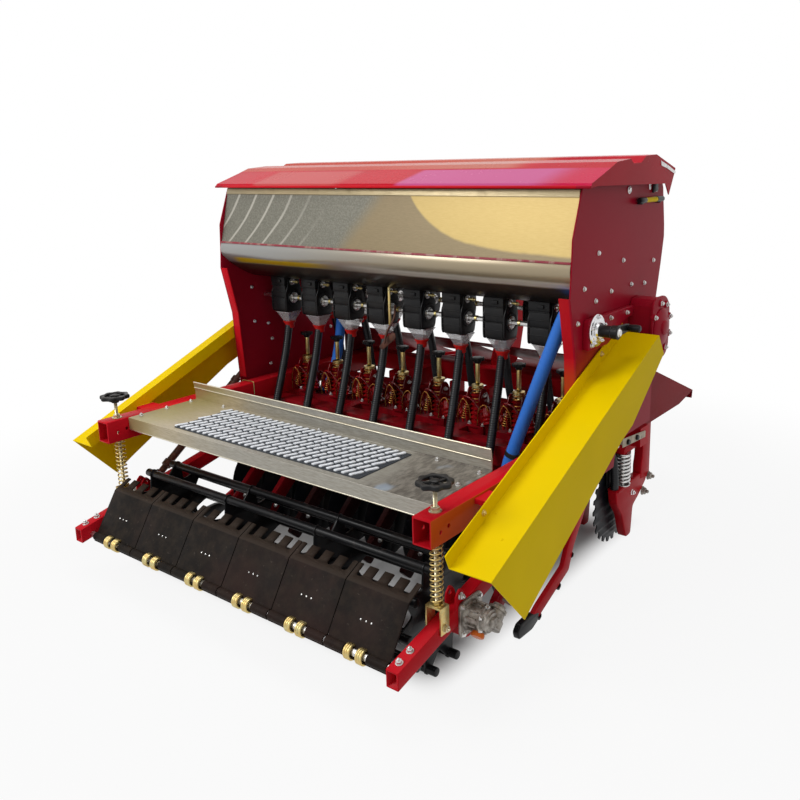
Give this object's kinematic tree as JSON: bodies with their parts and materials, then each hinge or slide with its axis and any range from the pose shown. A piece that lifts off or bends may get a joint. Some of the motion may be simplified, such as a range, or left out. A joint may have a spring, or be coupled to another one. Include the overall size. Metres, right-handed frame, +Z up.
{
  "type": "seed drill",
  "caption": "Mounted seed drill with a lidded double grain box, disc openers, a cage press roller, scraper flaps, side guards and a rear loading step.",
  "frame": {"origin": "middle of the machine's box, on the ground", "axes": "+X to the right, +Y the direction of travel, +Z up"},
  "size_m": [2.084, 2.236, 1.613],
  "materials": {
    "red_paint": "glossy red powder coat",
    "dark_red_paint": "dull dark red paint",
    "yellow_paint": "satin yellow powder coat",
    "stainless": "plain rolled stainless sheet",
    "hopper_inner": "bare stainless sheet with folded edges",
    "black_plastic": "moulded black plastic",
    "black_rubber": "smooth black hose",
    "blue_plastic": "smooth blue pipe",
    "black_paint": "black paint, worn where it rolls",
    "gold_zinc": "yellow zinc plating",
    "mill_scale": "bare spring steel with brown mill scale",
    "disc_steel": "dark hardened disc steel",
    "raw_aluminium": "as-cast aluminium",
    "brown_tube": "brown lacquered tube"
  },
  "bodies": {
    "chassis": {"main_frame": "red_paint", "platform_arm_left": "red_paint", "platform_arm_right": "red_paint", "platform": "stainless", "side_panel_left": "red_paint", "side_panel_right": "red_paint", "hopper_rear_panel": "stainless", "hopper_front_panel": "stainless", "hopper_floor": "hopper_inner", "seed_meter_bank": "black_plastic", "fertiliser_meter_bank": "black_plastic", "drain_pipe": "blue_plastic", "seed_opener_gang": "red_paint", "front_opener_gang": "red_paint", "roller_arm_left": "red_paint", "roller_arm_right": "red_paint", "depth_screw_left": "gold_zinc", "depth_screw_right": "gold_zinc", "depth_spring_left": "gold_zinc", "depth_spring_right": "gold_zinc", "scraper": "mill_scale", "gearbox_left": "raw_aluminium", "gearbox_right": "raw_aluminium", "drive_shaft_left": "brown_tube", "drive_shaft_right": "brown_tube", "transmission_case_left": "red_paint", "transmission_case_right": "red_paint", "crank": "black_plastic", "guard_left": "yellow_paint", "guard_right": "yellow_paint", "front_hood": "dark_red_paint", "headstock": "red_paint", "seed_tube_1": "black_rubber", "seed_tube_2": "black_rubber", "seed_tube_3": "black_rubber", "seed_tube_4": "black_rubber", "seed_tube_5": "black_rubber", "seed_tube_6": "black_rubber", "seed_tube_7": "black_rubber", "seed_tube_8": "black_rubber"},
    "lid": {"lid": "red_paint"},
    "roller": {"roller": "black_paint"},
    "opener_disc_1": {"opener_disc_1": "disc_steel"},
    "opener_disc_2": {"opener_disc_2": "disc_steel"},
    "opener_disc_3": {"opener_disc_3": "disc_steel"},
    "opener_disc_4": {"opener_disc_4": "disc_steel"},
    "opener_disc_5": {"opener_disc_5": "disc_steel"},
    "opener_disc_6": {"opener_disc_6": "disc_steel"},
    "opener_disc_7": {"opener_disc_7": "disc_steel"},
    "opener_disc_8": {"opener_disc_8": "disc_steel"},
    "front_disc_1": {"front_disc_1": "disc_steel"},
    "front_disc_2": {"front_disc_2": "disc_steel"},
    "front_disc_3": {"front_disc_3": "disc_steel"},
    "front_disc_4": {"front_disc_4": "disc_steel"},
    "front_disc_5": {"front_disc_5": "disc_steel"},
    "front_disc_6": {"front_disc_6": "disc_steel"},
    "front_disc_7": {"front_disc_7": "disc_steel"},
    "front_disc_8": {"front_disc_8": "disc_steel"}
  },
  "joints": [
    {"name": "lid_hinge", "type": "hinge", "parent": "chassis", "child": "lid", "pos_m": [0, 0.515, 1.545], "axis": [-1, 0, 0], "range_deg": [0, 95]},
    {"name": "roller_spin", "type": "hinge", "parent": "chassis", "child": "roller", "pos_m": [0, -0.772, 0.19369], "axis": [-1, 0, 0], "continuous": true},
    {"name": "opener_disc_1_spin", "type": "hinge", "parent": "chassis", "child": "opener_disc_1", "pos_m": [-0.72, -0.257, 0.17164], "axis": [-1, 0, 0], "continuous": true},
    {"name": "opener_disc_2_spin", "type": "hinge", "parent": "chassis", "child": "opener_disc_2", "pos_m": [-0.52, -0.257, 0.17164], "axis": [-1, 0, 0], "continuous": true},
    {"name": "opener_disc_3_spin", "type": "hinge", "parent": "chassis", "child": "opener_disc_3", "pos_m": [-0.32, -0.257, 0.17164], "axis": [-1, 0, 0], "continuous": true},
    {"name": "opener_disc_4_spin", "type": "hinge", "parent": "chassis", "child": "opener_disc_4", "pos_m": [-0.12, -0.257, 0.17164], "axis": [-1, 0, 0], "continuous": true},
    {"name": "opener_disc_5_spin", "type": "hinge", "parent": "chassis", "child": "opener_disc_5", "pos_m": [0.08, -0.257, 0.17164], "axis": [-1, 0, 0], "continuous": true},
    {"name": "opener_disc_6_spin", "type": "hinge", "parent": "chassis", "child": "opener_disc_6", "pos_m": [0.28, -0.257, 0.17164], "axis": [-1, 0, 0], "continuous": true},
    {"name": "opener_disc_7_spin", "type": "hinge", "parent": "chassis", "child": "opener_disc_7", "pos_m": [0.48, -0.257, 0.17164], "axis": [-1, 0, 0], "continuous": true},
    {"name": "opener_disc_8_spin", "type": "hinge", "parent": "chassis", "child": "opener_disc_8", "pos_m": [0.68, -0.257, 0.17164], "axis": [-1, 0, 0], "continuous": true},
    {"name": "front_disc_1_spin", "type": "hinge", "parent": "chassis", "child": "front_disc_1", "pos_m": [-0.63, 0.385, 0.18635], "axis": [-1, 0, 0], "continuous": true},
    {"name": "front_disc_2_spin", "type": "hinge", "parent": "chassis", "child": "front_disc_2", "pos_m": [-0.43, 0.385, 0.18635], "axis": [-1, 0, 0], "continuous": true},
    {"name": "front_disc_3_spin", "type": "hinge", "parent": "chassis", "child": "front_disc_3", "pos_m": [-0.23, 0.385, 0.18635], "axis": [-1, 0, 0], "continuous": true},
    {"name": "front_disc_4_spin", "type": "hinge", "parent": "chassis", "child": "front_disc_4", "pos_m": [-0.03, 0.385, 0.18635], "axis": [-1, 0, 0], "continuous": true},
    {"name": "front_disc_5_spin", "type": "hinge", "parent": "chassis", "child": "front_disc_5", "pos_m": [0.17, 0.385, 0.18635], "axis": [-1, 0, 0], "continuous": true},
    {"name": "front_disc_6_spin", "type": "hinge", "parent": "chassis", "child": "front_disc_6", "pos_m": [0.37, 0.385, 0.18635], "axis": [-1, 0, 0], "continuous": true},
    {"name": "front_disc_7_spin", "type": "hinge", "parent": "chassis", "child": "front_disc_7", "pos_m": [0.57, 0.385, 0.18635], "axis": [-1, 0, 0], "continuous": true},
    {"name": "front_disc_8_spin", "type": "hinge", "parent": "chassis", "child": "front_disc_8", "pos_m": [0.77, 0.385, 0.18635], "axis": [-1, 0, 0], "continuous": true}
  ]
}
